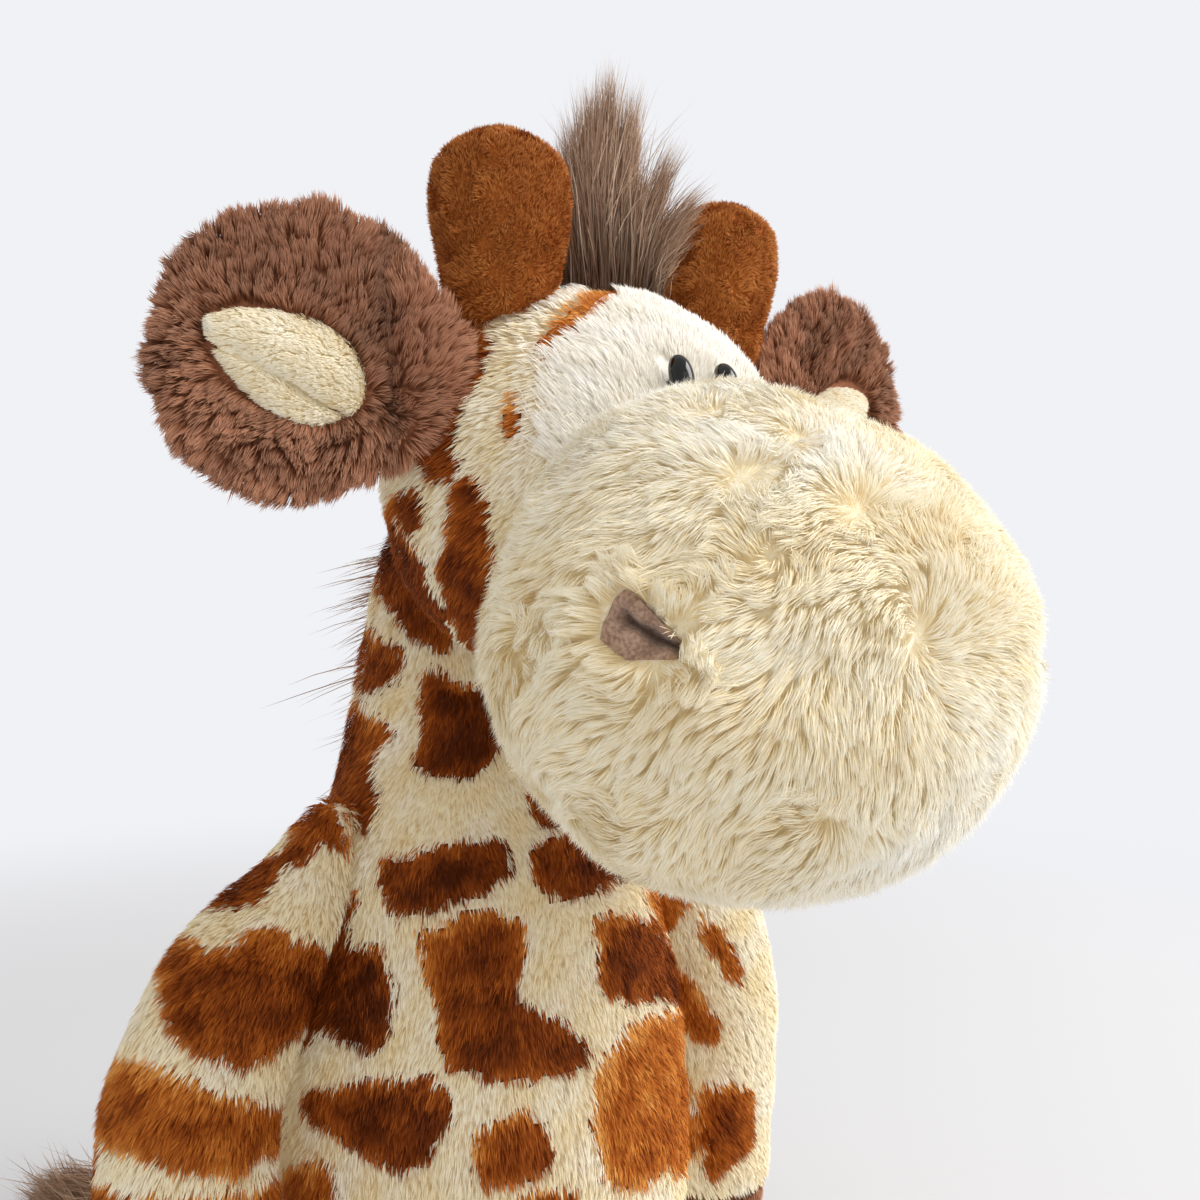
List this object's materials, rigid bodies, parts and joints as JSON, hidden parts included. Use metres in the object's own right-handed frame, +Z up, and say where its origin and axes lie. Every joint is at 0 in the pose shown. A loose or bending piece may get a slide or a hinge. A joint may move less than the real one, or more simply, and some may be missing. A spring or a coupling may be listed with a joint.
{
  "type": "plush giraffe",
  "caption": "Sitting plush giraffe with a big pale muzzle, spotted body, horns, ears, arms, legs and a tufted tail.",
  "frame": {"origin": "on the floor under the middle of the seat, at the centre of the base panel's underside", "axes": "+Z up, the giraffe faces -Y, +X is the giraffe's own left"},
  "size_m": [0.2214, 0.2687, 0.3331],
  "materials": {
    "spotted_plush": "short-pile plush, cream with printed rust-brown spots",
    "pale_plush": "medium-pile white-cream plush",
    "cream_plush": "long-pile cream plush, clumped",
    "rust_plush": "very short-pile rust-brown plush",
    "brown_plush": "medium-pile brown plush with paler tips",
    "long_hair": "long grey-brown fibre hair",
    "taupe_felt": "short brushed felt",
    "black_gloss": "polished black",
    "white_plastic": "moulded, plain",
    "fibre_stuffing": "loose white fibre fill",
    "cotton_bag": "woven cotton bag of pellets"
  },
  "bodies": {
    "torso": {"body_skin": "spotted_plush", "body_stuffing": "fibre_stuffing", "pellet_bag": "cotton_bag", "base_panel": "brown_plush", "head": "spotted_plush", "forehead_panel": "pale_plush", "muzzle": "cream_plush", "nostril_right": "taupe_felt", "nostril_left": "taupe_felt", "eye_right": "black_gloss", "eye_left": "black_gloss", "eye_washer_right": "white_plastic", "eye_washer_left": "white_plastic", "horn_right": "rust_plush", "horn_left": "rust_plush", "hair_tuft": "long_hair", "mane": "long_hair"},
    "right_ear": {"ear_right": "brown_plush", "ear_lining_right": "cream_plush"},
    "left_ear": {"ear_left": "brown_plush", "ear_lining_left": "cream_plush"},
    "right_arm": {"arm_right": "spotted_plush", "hand_right": "brown_plush"},
    "left_arm": {"arm_left": "spotted_plush", "hand_left": "brown_plush"},
    "right_leg": {"leg_right": "spotted_plush", "foot_right": "brown_plush", "sole_right": "taupe_felt"},
    "left_leg": {"leg_left": "spotted_plush", "foot_left": "brown_plush", "sole_left": "taupe_felt"},
    "tail": {"tail": "spotted_plush", "tail_tuft": "long_hair"}
  },
  "joints": [
    {"name": "ear_right_flap", "type": "hinge", "parent": "torso", "child": "right_ear", "pos_m": [-0.02852, -0.05139, 0.25312], "axis": [0.0523, 0.0018, 0.9986], "range_deg": [-20, 20], "stiffness_Nm_per_rad": 0.01},
    {"name": "ear_left_flap", "type": "hinge", "parent": "torso", "child": "left_ear", "pos_m": [0.05331, -0.04853, 0.24883], "axis": [0.0523, 0.0018, 0.9986], "range_deg": [-20, 20], "stiffness_Nm_per_rad": 0.01},
    {"name": "shoulder_right", "type": "hinge", "parent": "torso", "child": "right_arm", "pos_m": [-0.05, -0.009, 0.14], "axis": [-0.9925, 0, -0.1219], "range_deg": [-20, 60]},
    {"name": "shoulder_left", "type": "hinge", "parent": "torso", "child": "left_arm", "pos_m": [0.05, -0.009, 0.14], "axis": [-0.9925, 0, 0.1219], "range_deg": [-20, 60]},
    {"name": "hip_right", "type": "hinge", "parent": "torso", "child": "right_leg", "pos_m": [-0.03, -0.034, 0.021], "axis": [0, 0, -1], "range_deg": [-4, 22]},
    {"name": "hip_left", "type": "hinge", "parent": "torso", "child": "left_leg", "pos_m": [0.03, -0.034, 0.021], "axis": [0, 0, 1], "range_deg": [-4, 22]},
    {"name": "tail_swing", "type": "hinge", "parent": "torso", "child": "tail", "pos_m": [0, 0.056, 0.017], "axis": [0, 0, 1], "range_deg": [-20, 20]}
  ]
}
